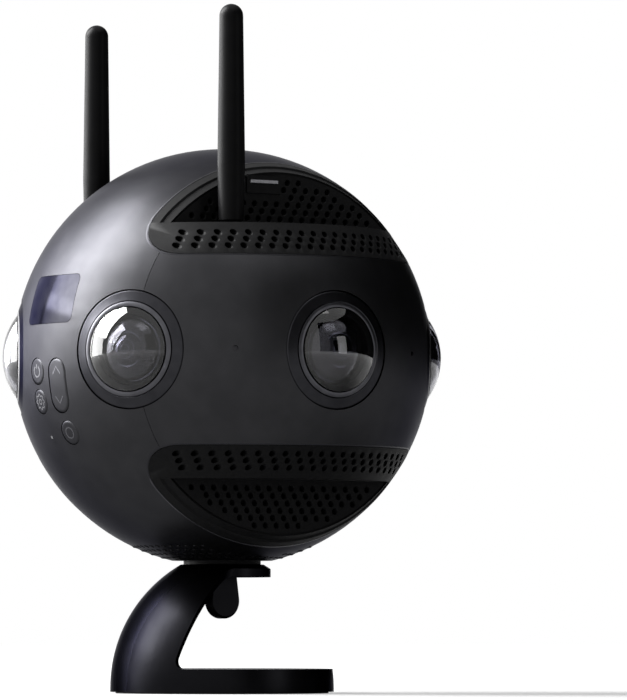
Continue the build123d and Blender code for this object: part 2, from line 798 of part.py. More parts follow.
def make_stand():
    """Base disc, curved neck and cap, cut from one bell, and the rubber ring under it."""
    under = stand_height - stand_cap_thick
    outer = revolved(
        Polyline(
            bell_point(stand_height), (0, 0, stand_height), (0, 0, pad_proud), (base_radius, 0, pad_proud),
            (base_radius, 0, bell_foot),
        ),
        ThreePointArc((base_radius, 0, bell_foot), bell_point(stand_height / 2), bell_point(stand_height)),
    )
    hollow = revolved(
        Polyline(bell_point(under, bell_wall), (0, 0, under), (0, 0, base_height), bell_point(base_height, bell_wall)),
        ThreePointArc(
            bell_point(base_height, bell_wall), bell_point((under + base_height) / 2, bell_wall),
            bell_point(under, bell_wall),
        ),
    )
    wedge = block((-far, -far, 0), (0, far, stand_height + overrun))
    for side in (-1, 1):
        wedge = split(wedge, bisect_by=neck_plane(side), keep=Keep.BOTTOM)
    area = rod(base_radius + overrun, 0, base_height) + wedge
    area += rod(cap_rim_radius, under - overrun, stand_height + overrun)
    stand = (outer - hollow) & area
    feet = [edge for edge in stand.edges().filter_by(GeomType.LINE) if abs(edge.center().Z - base_height) < snug]
    stand = fillet(feet, neck_base_fillet)
    stand = fillet(stand.edges().filter_by(GeomType.ELLIPSE), neck_cap_fillet)
    stand -= tube(pad_outer, pad_inner, 0, pad_thick)
    stand -= rod(thread_radius + running, under - overrun, stand_height + overrun)
    stand -= rod(washer_radius + running, under - overrun, under + washer_pocket)
    keep("stand", stand)
    keep("stand_pad", tube(pad_outer - snug, pad_inner + snug, 0, pad_thick - snug))


def make_clamp():
    """Tripod screw through the cap, its washer, and the paddle that turns it."""
    under = stand_height - stand_cap_thick
    washer_top = under + washer_pocket - running
    keep("clamp_washer", tube(washer_radius, thread_radius + running, washer_top - washer_thick, washer_top))
    paddle_top = washer_top - washer_thick - paddle_gap
    screw = rod(thread_radius, paddle_top, stand_height + stud_above)
    screw += rod(shank_radius, paddle_top - shank_length, paddle_top)
    keep("clamp_screw", screw)
    outline = make_hull(
        [
            *(Pos(0, paddle_centre_z) * Circle(paddle_radius)).edges(),
            Line((-paddle_top_half, paddle_top), (paddle_top_half, paddle_top)),
        ]
    )
    paddle = extrude(Plane.XZ * outline, paddle_thick / 2, both=True)
    rims = paddle.faces().filter_by(Axis.Y).edges()
    paddle = chamfer([edge for edge in rims if edge.center().Z < paddle_top - paddle_edge], paddle_edge)
    paddle -= rod(shank_radius + snug, paddle_top - shank_length - snug, paddle_top + overrun)
    keep("clamp_paddle", paddle)


make_shells()
make_vents()
make_lenses()
make_chassis()
make_electronics()
make_battery()
make_controls()
make_antennas()
make_reader()
make_stand()
make_clamp()

os.makedirs("parts", exist_ok=True)
for name, shape in parts.items():
    export_step(shape, f"parts/{name}.step")
print(len(parts), "pieces written")
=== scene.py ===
# %% [markdown]
# # A ball-shaped panoramic camera on its stand
# The engineering model gives every piece its true size and place. This file dresses it: it makes
# the perforated vents and the dust mesh behind them, the rings, domes and inner glasses of the six
# lenses, the caps of the keys with their marks, and the small pits round the foot. It gives each
# piece a material, and then sets up a small white studio.

from math import acos, asin, atan2, cos, degrees, pi, radians, sin, sqrt

import bmesh
import bpy
from mathutils import Matrix, Vector


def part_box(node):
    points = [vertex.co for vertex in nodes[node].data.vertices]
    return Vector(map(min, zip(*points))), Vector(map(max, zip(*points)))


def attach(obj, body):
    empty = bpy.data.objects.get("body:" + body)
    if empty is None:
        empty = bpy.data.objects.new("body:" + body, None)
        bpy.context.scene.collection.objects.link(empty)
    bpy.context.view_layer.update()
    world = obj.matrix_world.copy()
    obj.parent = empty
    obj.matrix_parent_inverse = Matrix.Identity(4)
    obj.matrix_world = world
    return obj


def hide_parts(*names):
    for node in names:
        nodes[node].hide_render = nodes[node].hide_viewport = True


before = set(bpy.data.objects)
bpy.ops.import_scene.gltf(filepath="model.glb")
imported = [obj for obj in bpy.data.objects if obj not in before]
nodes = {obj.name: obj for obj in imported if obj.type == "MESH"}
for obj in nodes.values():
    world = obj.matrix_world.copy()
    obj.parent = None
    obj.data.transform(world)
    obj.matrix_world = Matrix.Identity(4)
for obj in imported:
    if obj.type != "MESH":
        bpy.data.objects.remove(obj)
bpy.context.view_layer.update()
mm = 0.001

# %% [markdown]
# ## Sizes that the dressing shares with the model
# The centre of the ball is read from the model, so nothing here can drift away from it. The other
# sizes repeat the model's own, in millimetres from the centre of the ball.

# %% Shared sizes
ball_radius = 71.5
_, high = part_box("main_shell")
ball_centre = Vector((0, 0, high.z - ball_radius * mm))
lens_azimuths = [-120, -60, 0, 60, 120, 180]
print("ball centre stands %.1f mm above the table" % (ball_centre.z / mm))

# %% [markdown]
# ## Placing things on a ball
# Round pieces are easiest to draw about the Z axis. `aim` gives the matrix that turns Z outward to
# a direction from the centre of the ball: azimuth 0 is the front (-Y), azimuth 90 is the right (+X).

# %% Matrix helpers
def aim(azimuth, elevation=0.0):
    turn = Matrix.Rotation(radians(azimuth), 4, "Z") @ Matrix.Rotation(radians(90 - elevation), 4, "X")
    return Matrix.Translation(ball_centre) @ turn @ Matrix.Scale(mm, 4)


def face_angles(y, z):
    """Azimuth and elevation of a (y, z) place on the -X side of the ball."""
    return -degrees(acos(-y / sqrt(ball_radius ** 2 - z ** 2))), degrees(asin(z / ball_radius))


upright = Matrix.Translation(ball_centre) @ Matrix.Scale(mm, 4)
print("front of the ball:", aim(0) @ Vector((0, 0, ball_radius)))

# %% [markdown]
# ## From points to a finished piece
# Every piece made here goes through one function. Three more helpers do the drawing: one joins rows
# of points with faces, one adds a drawing to another, and one turns a profile as a lathe does.

# %% Piece helpers
double_distance = 0.0005 * mm


def finish_piece(name, bm, material, body="camera", stands_for=(), sharp=32.0, second=None):
    bmesh.ops.remove_doubles(bm, verts=bm.verts, dist=double_distance)
    bmesh.ops.recalc_face_normals(bm, faces=bm.faces)
    mesh = bpy.data.meshes.new(name)
    bm.to_mesh(mesh)
    bm.free()
    mesh.polygons.foreach_set("use_smooth", [True] * len(mesh.polygons))
    mesh.set_sharp_from_angle(angle=radians(sharp))
    mesh.materials.append(material)
    if second:
        mesh.materials.append(second)
    piece = bpy.data.objects.new(name, mesh)
    bpy.context.scene.collection.objects.link(piece)
    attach(piece, body)
    if stands_for:
        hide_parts(*stands_for)
    return piece


def bridge(bm, rows, around=False, ring=False):
    """Faces between each row of points and the next. With `around` a row's two ends are joined too,
    and with `ring` the last row is joined to the first."""
    pairs = list(zip(rows, rows[1:])) + ([(rows[-1], rows[0])] if ring else [])
    faces = []
    for a, b in pairs:
        for step in range(len(a) if around else len(a) - 1):
            after = (step + 1) % len(a)
            faces.append(bm.faces.new((a[step], a[after], b[after], b[step])))
    return faces


def add_drawing(bm, other):
    """Put the faces of a second drawing into the first."""
    carrier = bpy.data.meshes.new("carrier")
    other.to_mesh(carrier)
    other.free()
    bm.from_mesh(carrier)
    bpy.data.meshes.remove(carrier)


def lathe(bm, profile, place, segments=96, closed=True, second=()):
    """Turn a list of (radius, height) points round the Z axis of a place. The runs of the profile
    that are numbered in `second` take the piece's second material."""
    rings = []
    for radius, height in profile:
        if radius == 0:
            rings.append([bm.verts.new(place @ Vector((0, 0, height)))] * segments)
            continue
        ring = []
        for step in range(segments):
            angle = 2 * pi * step / segments
            ring.append(bm.verts.new(place @ Vector((radius * cos(angle), radius * sin(angle), height))))
        rings.append(ring)
    pairs = list(zip(rings, rings[1:] + rings[:1])) if closed else list(zip(rings, rings[1:]))
    for run, (a, b) in enumerate(pairs):
        for step in range(segments):
            after = (step + 1) % segments
            corners = []
            for vert in (a[step], a[after], b[after], b[step]):
                if vert not in corners:
                    corners.append(vert)
            if len(corners) > 2:
                bm.faces.new(corners).material_index = 1 if run in second else 0


print("points closer than %.4f mm are joined" % (double_distance / mm))

# %% [markdown]
# ## Colours and nodes
# Colours are written as the hex values a screen shows. Blender mixes light in linear values, so one
# function converts them. One more function adds a shader node, fills its sockets and links it.

# %% Material helpers
def linear(hex_colour):
    values = [int(hex_colour[index:index + 2], 16) / 255 for index in (1, 3, 5)]
    return (*[v / 12.92 if v <= 0.04045 else ((v + 0.055) / 1.055) ** 2.4 for v in values], 1.0)


def add_node(tree, kind, inputs=None, **settings):
    node = tree.nodes.new(kind)
    for key, value in settings.items():
        setattr(node, key, value)
    for socket, value in (inputs or {}).items():
        if isinstance(value, bpy.types.NodeSocket):
            tree.links.new(value, node.inputs[socket])
        else:
            node.inputs[socket].default_value = value
    return node


def per_metre(size_mm):
    """Scale of a pattern whose features are this many millimetres apart."""
    return 1 / (size_mm * mm)


def new_material(name, colour, metallic, roughness, **shader):
    """A material with its main shader, and a place on the object for its patterns."""
    material = bpy.data.materials.new(name)
    material.use_nodes = True
    tree = material.node_tree
    main = tree.nodes["Principled BSDF"]
    main.inputs["Base Color"].default_value = linear(colour)
    main.inputs["Metallic"].default_value = metallic
    main.inputs["Roughness"].default_value = roughness
    for socket, value in shader.items():
        main.inputs[socket.replace("_", " ")].default_value = value
    place = add_node(tree, "ShaderNodeTexCoord").outputs["Object"]
    return material, tree, main, place


def mottle(tree, main, place, size_mm, dark, light, low=0.35, high=0.65):
    """Two tones of one colour in soft patches, linked to the base colour."""
    noise = add_node(tree, "ShaderNodeTexNoise", {"Vector": place, "Scale": per_metre(size_mm), "Detail": 3.0})
    ramp = add_node(tree, "ShaderNodeValToRGB", {"Fac": noise.outputs["Fac"]})
    ramp.color_ramp.elements[0].position = low
    ramp.color_ramp.elements[1].position = high
    ramp.color_ramp.elements[0].color = linear(dark)
    ramp.color_ramp.elements[1].color = linear(light)
    tree.links.new(ramp.outputs["Color"], main.inputs["Base Color"])


def uneven_gloss(tree, main, place, size_mm, least, most):
    """Roughness that wanders between two values, as handling and coating leave it."""
    noise = add_node(tree, "ShaderNodeTexNoise", {"Vector": place, "Scale": per_metre(size_mm), "Detail": 4.0})
    spread = add_node(tree, "ShaderNodeMapRange", {"Value": noise.outputs["Fac"], "To Min": least, "To Max": most})
    tree.links.new(spread.outputs["Result"], main.inputs["Roughness"])


def grain(tree, main, place, size_mm, depth_mm):
    """Fine bumps of a given spacing and depth."""
    noise = add_node(tree, "ShaderNodeTexNoise", {"Vector": place, "Scale": per_metre(size_mm), "Detail": 2.0})
    bump = add_node(tree, "ShaderNodeBump", {"Height": noise.outputs["Fac"], "Distance": depth_mm * mm})
    tree.links.new(bump.outputs["Normal"], main.inputs["Normal"])


def dress(material, *names):
    """Give a material to pieces of the model that keep their own shape."""
    for name in names:
        nodes[name].data.materials.clear()
        nodes[name].data.materials.append(material)


def plain_finish(name, colour, metallic, roughness, patches=None, bumps=None, pieces=(), **shader):
    """A material with patches (size, dark, light) and a grain (size, depth), put on some pieces."""
    material, tree, main, place = new_material(name, colour, metallic, roughness, **shader)
    if patches:
        mottle(tree, main, place, *patches)
    if bumps:
        grain(tree, main, place, *bumps)
    dress(material, *pieces)
    return material


print("a mid grey in linear light:", linear("#808080")[0])

# %% [markdown]
# ## The ball: bead blasted and anodised aluminium
# The covers of the ball are cast aluminium, blasted with fine beads and then dyed almost black. The
# dyed oxide hardly shines face on, and the blasting spreads each lamp into one large soft glow. A
# dark plastic shader would show a white rim where the ball turns away. So the shader is a metal with
# a very dark colour, dimmed further at its edges by its tint, and with a middling roughness. The
# grain is 0.35 mm, coarser than real beads leave, so that it shows at all.

# %% Anodised aluminium
anodised, tree, main, place = new_material("anodised_aluminium_charcoal", "#333335", 1.0, 0.39)
main.inputs["Specular Tint"].default_value = linear("#b4b4b8")
mottle(tree, main, place, 9.0, "#313133", "#353537")
uneven_gloss(tree, main, place, 6.0, 0.37, 0.41)
grain(tree, main, place, 0.35, 0.006)
dress(anodised, "main_shell", "front_plate", "rear_plate", "battery_cap")
print("dressed the covers in", anodised.name)

# %% [markdown]
# ## The vents: glass filled nylon, moulded with a fine texture
# Nylon with glass fibre comes out of its mould matt and slightly speckled. It reflects little, so
# the holes and ledges are seen by their shadows. The foot plate and the card reader are nylon too.

# %% Moulded nylon
nylon, tree, main, place = new_material("moulded_nylon_black", "#0e0e0f", 0.0, 0.5, Specular_IOR_Level=0.08)
mottle(tree, main, place, 1.6, "#0c0c0d", "#111112")
uneven_gloss(tree, main, place, 2.5, 0.5, 0.62)
grain(tree, main, place, 0.5, 0.02)
dress(nylon, "foot_plate", "card_reader")
print("made", nylon.name)

# %% [markdown]
# ## Perforated panels
# A vent panel is a sheet with many round holes. A boolean would leave ragged triangles, so the
# sheet is drawn flat as an outline with holes and filled with triangles. Each point is then pushed
# back to the real surface, a sphere for the strip and a plane for the wall. A second copy makes the
# back, and walls join the two, so the result is one closed solid with chamfered holes.

# %% Perforated panel
hole_segments = 14
hole_radius = 1.02
hole_chamfer = 0.18


def ring_points(x, z, radius, segments=hole_segments):
    return [
        (x + radius * cos(2 * pi * step / segments), z + radius * sin(2 * pi * step / segments))
        for step in range(segments)
    ]


def sheet_with_holes(bm, outline, holes, front, back, place):
    """Closed sheet between two surfaces y = front(x, z) and y = back(x, z). A hole is a pair of
    rings: at its mouth and below its chamfer."""
    mouth_rings = [mouth for mouth, _ in holes]
    loops = []
    edges = []
    for loop in [outline] + mouth_rings:
        verts = [bm.verts.new((x, 0, z)) for x, z in loop]
        edges += [bm.edges.new((a, b)) for a, b in zip(verts, verts[1:] + verts[:1])]
        loops.append(verts)
    filled = bmesh.ops.triangle_fill(bm, use_beauty=True, use_dissolve=False, edges=edges, normal=(0, -1, 0))
    faces = [item for item in filled["geom"] if isinstance(item, bmesh.types.BMFace)]
    twin = {}  # each point of the front sheet has one of the back sheet
    for index, loop in enumerate(loops):
        under = holes[index - 1][1] if index else None
        necks = []
        for step, vert in enumerate(loop):
            x, _, z = vert.co
            ux, uz = under[step] if under else (x, z)
            twin[vert] = bm.verts.new((ux, back(ux, uz), uz))
            vert.co = (x, front(x, z), z)
            if under:
                chamfer = abs(ux - x) + abs(uz - z)
                necks.append(bm.verts.new((ux, front(ux, uz) + min(chamfer, hole_chamfer), uz)))
        middle = necks or loop
        for step in range(len(loop)):
            after = (step + 1) % len(loop)
            if necks:
                bm.faces.new((loop[step], loop[after], necks[after], necks[step]))
            bm.faces.new((middle[step], middle[after], twin[loop[after]], twin[loop[step]]))
    for face in faces:
        bm.faces.new([twin[vert] for vert in reversed(face.verts)])
    bmesh.ops.transform(bm, matrix=place, verts=bm.verts)


print("a panel hole is %.2f mm across with a %.2f mm chamfer" % (2 * hole_radius, hole_chamfer))

# %% [markdown]
# ## Where the holes go
# The rows of holes are shifted along by a third of their spacing from one row to the next, which
# gives the slanted lines of the pattern. The sizes are the model's, so the holes match its own.

# %% Vent sizes and rows
vent_wall = 2.0
vent_y = 29.95
vent_z = 31.85
vent_corner = 15.0
notch_y = 35.4
notch_z = 42.7
hole_pitch = 4.46
strip_rows = [34.5, 36.8, 39.1]
strip_edge = 8.0
wall_rows = [45.4, 47.9, 50.4, 52.9, 55.4, 57.9]
wall_edge = 3.0
rim_radius = sqrt(ball_radius ** 2 - notch_y ** 2)


def corner_y(z):
    """Distance of the vent's edge in front of the centre, with its round corner."""
    rise = max(0.0, vent_z + vent_corner - z)
    return vent_y + vent_corner - sqrt(max(0.0, vent_corner ** 2 - rise ** 2))


def strip_half(z):
    """Half the width of the strip at a height."""
    return sqrt(max(0.0, ball_radius ** 2 - z ** 2 - corner_y(z) ** 2))


def row_of_holes(z, row, half):
    shift = (row % 3 - 1) * hole_pitch / 3
    count = int((half + abs(shift)) // hole_pitch) + 1
    places = [(step * hole_pitch + shift, z) for step in range(-count, count + 1)]
    return [place for place in places if abs(place[0]) < half]


def round_hole(x, z):
    return ring_points(x, z, hole_radius + hole_chamfer), ring_points(x, z, hole_radius)


print("rim radius of the recess: %.1f mm" % rim_radius)

# %% [markdown]
# ## Four vents from one drawing
# The front upper vent is drawn once. Mirroring its heights gives the lower vents and mirroring its
# depths the rear ones, as the four mouldings of the real camera mirror each other. Just behind the
# holes lies a solid near-black sheet, which paints the shade of the vents' dark inside. Without it,
# light from the holes on the far side would shine through the ball, and the holes would look pale.

# %% Strip, shelf, wall and rim
corners = {"front_top": (1, 1), "front_bottom": (1, -1), "rear_top": (-1, 1), "rear_bottom": (-1, -1)}
antenna_x, antenna_y, jack_radius, jack_gap = -24.4, 42.2, 3.2, 0.05
shelf_radius = sqrt(ball_radius ** 2 - notch_z ** 2)


def sphere(radius):
    """Depth of a sphere in front of its centre, as a function of a place (x, z)."""
    return lambda x, z: -sqrt(max(0.0, radius ** 2 - x ** 2 - z ** 2))


def plane(depth):
    return lambda x, z: depth


def strip_outline(side_steps=14, edge_steps=60, bunching=1.6):
    """Outline of the strip, with its points bunched where the round corner turns most."""
    heights = [vent_z + (notch_z - vent_z) * (step / side_steps) ** bunching for step in range(side_steps + 1)]
    right = [(strip_half(z), z) for z in heights]
    half_low = right[0][0]
    half_high = right[-1][0]
    bottom = [(-half_low + 2 * half_low * step / edge_steps, vent_z) for step in range(1, edge_steps)]
    top = [(half_high - 2 * half_high * step / edge_steps, notch_z) for step in range(1, edge_steps)]
    left = [(-x, z) for x, z in reversed(right)]
    return bottom + right + top + left


def cut_disc(radius, cut, steps):
    """The part of a disc that lies beyond a straight cut, as points along its arc."""
    reach = acos(cut / radius)
    turns = [-reach + 2 * reach * step / steps for step in range(steps + 1)]
    return [(radius * sin(turn), radius * cos(turn)) for turn in turns]


def make_strip(name, place, jack):
    """The curved strip, and behind its upper edge the flat shelf that an antenna's jack may stand in."""
    bm = bmesh.new()
    holes = []
    for row, z in enumerate(strip_rows):
        half = sqrt(ball_radius ** 2 - z ** 2 - vent_y ** 2) - strip_edge
        holes += [round_hole(x, height) for x, height in row_of_holes(z, row, half)]
    sheet_with_holes(bm, strip_outline(), holes, sphere(ball_radius), sphere(ball_radius - vent_wall), place)
    shelf = bmesh.new()
    lying = Matrix(((1, 0, 0, 0), (0, 0, -1, 0), (0, -1, 0, 0), (0, 0, 0, 1)))  # depth and height change places
    gaps = [(ring_points(antenna_x, antenna_y, jack_radius + jack_gap, 32),) * 2] if jack else []
    outline = cut_disc(shelf_radius, notch_y - vent_wall, 60)
    sheet_with_holes(shelf, outline, gaps, plane(-notch_z), plane(vent_wall - notch_z), place @ lying)
    add_drawing(bm, shelf)
    return finish_piece(name, bm, nylon, stands_for=[name.replace("_panel", "_vent")])


reader_x, reader_z, reader_width, reader_height, reader_gap = -7.0, 57.05, 13.6, 6.1, 0.15
wall_radius = rim_radius - 1.5
wall_outline = cut_disc(wall_radius, notch_z, 72)
rim_groove_radius = rim_radius - 0.8
rim_groove_deep = 0.8
rim_step_share, rim_slant_share = 0.5, 0.06
rim_step = 0.55
rim_inner = wall_radius - 0.4


def reader_box(gap):
    """Corners of the card reader's opening, with a gap all round."""
    half_w, half_h = reader_width / 2 + gap, reader_height / 2 + gap
    return [(reader_x + sx * half_w, reader_z + sz * half_h) for sx, sz in ((-1, -1), (1, -1), (1, 1), (-1, 1))]


def make_wall(name, place, slot):
    """The upright wall with its holes and its rim. One of the four has the card reader's slot."""
    bm = bmesh.new()
    holes = []
    for row, z in enumerate(wall_rows):
        half = sqrt((rim_radius - wall_edge) ** 2 - z ** 2) - hole_radius
        for x, height in row_of_holes(z, row + 1, half):
            near = abs(x - reader_x) < reader_width / 2 + hole_radius + reader_gap
            in_reader = slot and near and height > reader_z - reader_height / 2 - hole_radius - reader_gap
            in_wall = Vector((x, height)).length < wall_radius - hole_radius - 2 * hole_chamfer
            if in_wall and not in_reader:
                holes.append(round_hole(x, height))
    if slot:
        holes.append((reader_box(reader_gap),) * 2)
    sheet_with_holes(bm, wall_outline, holes, plane(-notch_y), plane(vent_wall - notch_y), place)
    add_rim(bm, place)
    return finish_piece(name, bm, nylon, stands_for=[name.replace("_grille", "_recess")])


def add_rim(bm, place, steps=96):
    """Stepped rim round the wall: a band of the ball, a step down, a second band and a groove. A row
    of points is a band, at a share of the way in and a drop below the ball, or flat, at a depth and a
    radius."""
    def band_y(z, share):
        return corner_y(z) + (notch_y - corner_y(z)) * share

    rows = [
        ("band", 0.0, 0.0), ("band", rim_step_share, 0.0), ("band", rim_step_share + rim_slant_share, rim_step),
        ("band", 1.0, rim_step),
        ("flat", notch_y, rim_groove_radius), ("flat", notch_y - rim_groove_deep, rim_groove_radius),
        ("flat", notch_y - rim_groove_deep, rim_inner), ("flat", notch_y - vent_wall, rim_inner),
        ("band", 0.0, vent_wall),
    ]
    grid = []
    for kind, first, second in rows:
        line = []
        for step in range(steps + 1):
            turn = -1 + 2 * step / steps
            if kind == "flat":
                y, radius = first, second
            else:
                radius = rim_radius
                for _ in range(6):  # depth and radius depend on each other, so they are narrowed down
                    reach = acos(min(1.0, notch_z / radius))
                    y = band_y(radius * cos(turn * reach), first)
                    radius = sqrt((ball_radius - second) ** 2 - y ** 2)
            reach = acos(notch_z / radius)
            line.append(bm.verts.new(place @ Vector((radius * sin(turn * reach), -y, radius * cos(turn * reach)))))
        grid.append(line)
    bridge(bm, grid, ring=True)
    for end in (0, steps):
        bm.faces.new([line[end] for line in grid])


mesh_behind, mesh_thick, mesh_reader_gap = 0.25, 0.2, 0.4


def make_shade_sheet(name, place, slot):
    """A near-black sheet of painted shade: a piece of ball behind the strip and a plane behind the wall."""
    bm = bmesh.new()
    outer = ball_radius - vent_wall - mesh_behind
    sheet_with_holes(bm, strip_outline(), [], sphere(outer), sphere(outer - mesh_thick), place)
    flat = bmesh.new()
    gaps = [(reader_box(mesh_reader_gap),) * 2] if slot else []
    depth = vent_wall + mesh_behind - notch_y
    sheet_with_holes(flat, wall_outline, gaps, plane(depth), plane(depth + mesh_thick), place)
    add_drawing(bm, flat)
    return finish_piece(name, bm, shade_black_paint)


# Near-black painted shade, for the sheet behind the vent holes and for the discs of the foot pits.
shade_black_paint = plain_finish("black_dust_mesh", "#070708", 0.0, 0.8, (0.6, "#050506", "#0b0b0c"),
                          Specular_IOR_Level=0.05)
for corner, (side, way) in corners.items():
    place = upright @ Matrix.Diagonal((1, side, way, 1))
    make_shade_sheet(corner + "_dust_mesh", place, corner == "front_top")
    panel = make_strip(corner + "_panel", place, way > 0)
    grille = make_wall(corner + "_grille", place, corner == "front_top")
    print(corner, "panel faces:", len(panel.data.polygons), "grille faces:", len(grille.data.polygons))

# %% [markdown]
# ## The edge of each opening, with a painted highlight
# Where the cover is cut open for a vent, its edge is cut back at a slant, and a narrow bead follows the
# opening. It catches the light as a thin line. The bead is laid along a path of points that is mirrored
# to the other side. Its metal is a little darker and rougher than the ball. The sides of the lower
# openings look away from the lamps, so there the bead takes a brighter, glossier copy of that metal,
# a painted highlight.

# %% Opening edges
shell_vent_y, shell_vent_z = 29.8, 31.7
edge_width, edge_proud, edge_sink = 0.5, 0.05, 0.35
edge_profile = [(edge_width, -0.02), (edge_width * 0.6, edge_proud), (0.12, edge_proud), (-0.06, -edge_sink)]
bright_from = vent_z + vent_corner * 0.7


def opening_path(spread, corner_steps=24, line_steps=60):
    """Points of the opening's outline in (y, z), moved outward from the opening by a spread: in from
    the front, round the corner and up the side."""
    y0, z0, r = shell_vent_y - spread, shell_vent_z - spread, vent_corner
    turns = [pi / 2 * (1 - step / corner_steps) for step in range(corner_steps + 1)]
    bend = [(y0 + r - r * cos(turn), z0 + r - r * sin(turn)) for turn in turns]
    shares = [sin(pi / 2 * step / line_steps) for step in range(1, line_steps + 1)]
    top = sqrt(ball_radius ** 2 - y0 ** 2)
    rising = [(y0, z0 + r + (top - z0 - r) * share) for share in shares]
    reach = sqrt(ball_radius ** 2 - z0 ** 2)
    front = [(reach * share + (y0 + r) * (1 - share), z0) for share in shares]
    return front[::-1] + bend + rising


def opening_edge(name, place, material, bright=None):
    """The bead of one opening. A brighter copy of its metal, a painted highlight, goes on its sides only."""
    bm = bmesh.new()
    rows = []
    for spread, lift in edge_profile:
        line = []
        for y, z in opening_path(spread):
            x = sqrt(max(0.0, ball_radius ** 2 - y ** 2 - z ** 2))
            line.append(Vector((x, -y, z)).normalized() * (ball_radius + lift))
        loop = line + [Vector((-p.x, p.y, p.z)) for p in reversed(line[1:-1])]
        rows.append([bm.verts.new(place @ point) for point in loop])
    for face in bridge(bm, rows, around=True):
        rise = min(abs((place.inverted() @ vert.co).z) for vert in face.verts)
        face.material_index = 1 if bright and rise > bright_from else 0
    return finish_piece(name, bm, material, second=bright)


edge_metal = plain_finish("cut_aluminium_edge", "#2e2e31", 1.0, 0.42, bumps=(0.3, 0.004))
# Two copies of one metal: the brighter, glossier one is a painted highlight on the lower openings' sides.
edge_painted_highlight = plain_finish("aluminium_edge_painted_highlight", "#424246", 1.0, 0.3, bumps=(0.3, 0.004))
for corner, (side, way) in corners.items():
    place = upright @ Matrix.Diagonal((1, side, way, 1))
    opening_edge(corner + "_edge", place, edge_metal, edge_painted_highlight if way < 0 else None)
print("edges made for", ", ".join(corners))

# %% [markdown]
# ## Small holes round the foot
# The bottom of the ball has rings of small pits, where warm air leaves. A pit is drawn as a near-black
# disc flush with the cover, painted shade for the inside of the hole, and a low bump of the cover's own
# finish in it, which catches a little light.
# They keep to the strip of the ball between the lower vents.

# %% Foot pits
pit_pitch = 3.0
pit_drops = [64.8, 66.1, 67.35, 68.5]
pit_reach = 21.5
pit_radius = 0.95
# A near-black disc flush with the cover: painted shade for the inside of each pit.
pit_shade_disc = [(0, ball_radius + 0.03), (pit_radius, ball_radius + 0.02), (pit_radius, ball_radius - 0.3)]
pit_bump = [(0, ball_radius + 0.2), (0.3, ball_radius + 0.17), (0.55, ball_radius)]


def make_pits():
    """All pits as two pieces, the painted shade discs and the bumps. Gives their number."""
    dark, light = bmesh.new(), bmesh.new()
    count = 0
    for row, drop in enumerate(pit_drops):
        ring = sqrt(ball_radius ** 2 - drop ** 2)
        around = round(2 * pi * ring / pit_pitch)
        for step in range(around):
            turn = 2 * pi * (step + row % 2 / 2) / around
            if abs(ring * cos(turn)) > pit_reach:
                continue
            place = aim(degrees(turn), -degrees(asin(drop / ball_radius)))
            lathe(dark, pit_shade_disc, place, 12, closed=False)
            lathe(light, pit_bump, place, 10, closed=False)
            count += 1
    finish_piece("foot_pit_shade_discs", dark, shade_black_paint)
    finish_piece("foot_pit_bumps", light, anodised, sharp=60)
    return count


print("pits round the foot:", make_pits())

# %% [markdown]
# ## Lens rings: turned and black anodised aluminium
# Round each glass sits a ring turned on a lathe. Its wide outer band falls away like a shallow
# cone, and a brighter narrow band leans in to the glass. The cutter leaves both smoother than the
# blasted ball, so their highlights are narrower. Each is a lathe profile with small rounded edges.

# %% Lens rings
turned_black, tree, main, place = new_material("turned_aluminium_black", "#2f2f32", 1.0, 0.3)
main.inputs["Specular Tint"].default_value = linear("#a0a0a4")
mottle(tree, main, place, 4.0, "#2d2d30", "#323235")
uneven_gloss(tree, main, place, 3.0, 0.27, 0.34)
grain(tree, main, place, 0.3, 0.004)

turned_bright = plain_finish("turned_aluminium_grey", "#47474b", 1.0, 0.34, (3.0, "#444448", "#4c4c50"),
                             (0.25, 0.004))

groove_radius = 20.0
ring_outer = groove_radius - 0.15
bezel_rim = sqrt(ball_radius ** 2 - groove_radius ** 2)
bezel_foot = bezel_rim - 3.2
cone_outer = 15.9
cone_top = bezel_rim + 1.15
ring_inner = 14.2
ring_top = cone_top + 0.45
cone_profile = [
    (cone_outer - 0.2, bezel_foot), (ring_outer, bezel_foot), (ring_outer, bezel_rim - 0.7),
    (ring_outer - 0.15, bezel_rim - 0.35), (ring_outer - 0.5, bezel_rim - 0.05),
    (ring_outer - 0.75, bezel_rim + 0.02), (cone_outer + 0.35, cone_top - 0.08), (cone_outer + 0.1, cone_top - 0.25),
    (cone_outer - 0.2, cone_top - 0.3),
]
bright_profile = [
    (ring_inner, bezel_foot), (cone_outer - 0.25, bezel_foot), (cone_outer - 0.25, cone_top - 0.2),
    (cone_outer - 0.1, cone_top + 0.02), (cone_outer - 0.3, cone_top + 0.12), (ring_inner + 0.35, ring_top),
    (ring_inner + 0.1, ring_top - 0.05), (ring_inner, ring_top - 0.3),
]
bands = {"lens_cone": (cone_profile, turned_black), "lens_ring": (bright_profile, turned_bright)}
for number, azimuth in enumerate(lens_azimuths, 1):
    for name, (profile, material) in bands.items():
        bm = bmesh.new()
        lathe(bm, profile, aim(azimuth))
        finish_piece(f"{name}_{number}", bm, material, stands_for=[f"lens_bezel_{number}"])
print("lens rings stand %.2f mm above the foot of the bezel" % (ring_top - bezel_foot))

# %% [markdown]
# ## Lens glass: polished, with inked edges
# A fisheye lens is a stack of glasses in a blackened barrel. The outer one is a thick bowl of
# optical glass. Its back has a hollow, and the flat ring round the hollow and its edge are painted
# with black ink, so that no stray light comes in there. From the side that ink shows through the
# glass as the dark outline of the dome. One lathe profile makes it, with ink on two of its runs.
# The glass has a grey tint, darker than clear glass: painted shade that keeps the domes from showing
# the white world through them. A noise makes it slightly hazy in spots, where dust lies.

